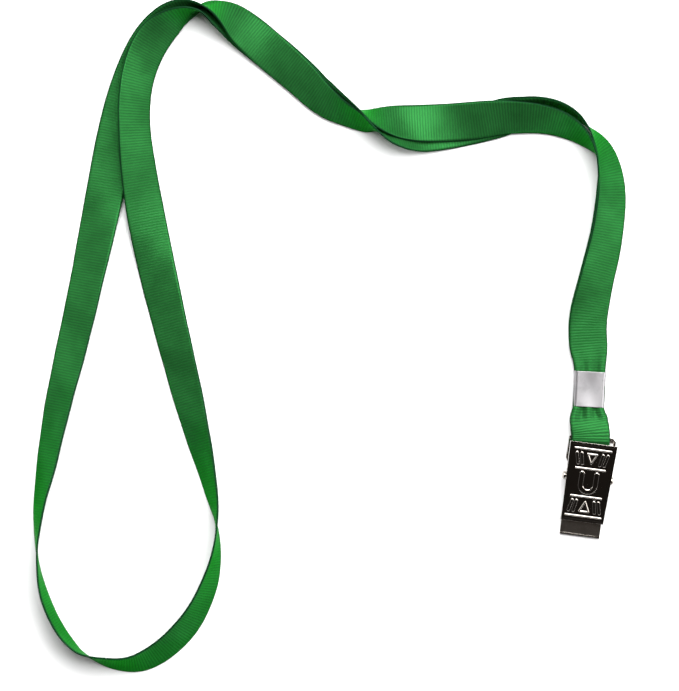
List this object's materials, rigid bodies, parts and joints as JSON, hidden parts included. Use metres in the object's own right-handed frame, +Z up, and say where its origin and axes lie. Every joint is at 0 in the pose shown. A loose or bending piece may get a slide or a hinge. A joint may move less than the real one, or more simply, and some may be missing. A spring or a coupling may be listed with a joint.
{
  "type": "lanyard badge holder",
  "caption": "Flat ribbon neck loop gathered in a metal crimp, ending in a sprung two-lever badge clip that swings on its strap bar.",
  "frame": {"origin": "on the flat underside of the lower jaw, straight below the pivot pin", "axes": "+Y from the jaws through the heel to the ribbon, +X across the clip along the pin, +Z up from the surface it lies on"},
  "size_m": [0.1837, 0.2209, 0.011],
  "materials": {
    "ribbon": "ribbed polyester ribbon, satin",
    "crimp_metal": "smooth bright",
    "clip_metal": "polished nickel plate",
    "spring_steel": "drawn wire"
  },
  "bodies": {
    "strap": {"crimp_clamp": "crimp_metal", "tail_loop": "ribbon", "neck_ribbon_right": "ribbon", "neck_ribbon_left": "ribbon"},
    "clip_base": {"lower_jaw": "clip_metal", "pivot_pin": "clip_metal", "torsion_spring": "spring_steel"},
    "clip_lever": {"upper_jaw": "clip_metal"}
  },
  "joints": [
    {"name": "clip_swing", "type": "hinge", "parent": "strap", "child": "clip_base", "pos_m": [0, 0.0124, 0.0024], "axis": [1, 0, 0], "range_deg": [-25, 80]},
    {"name": "jaw_open", "type": "hinge", "parent": "clip_base", "child": "clip_lever", "pos_m": [0, 0, 0.0042], "axis": [-1, 0, 0], "range_deg": [0, 24], "stiffness_Nm_per_rad": 0.01, "springref_deg": -34.38, "deforming": ["torsion_spring"]}
  ]
}
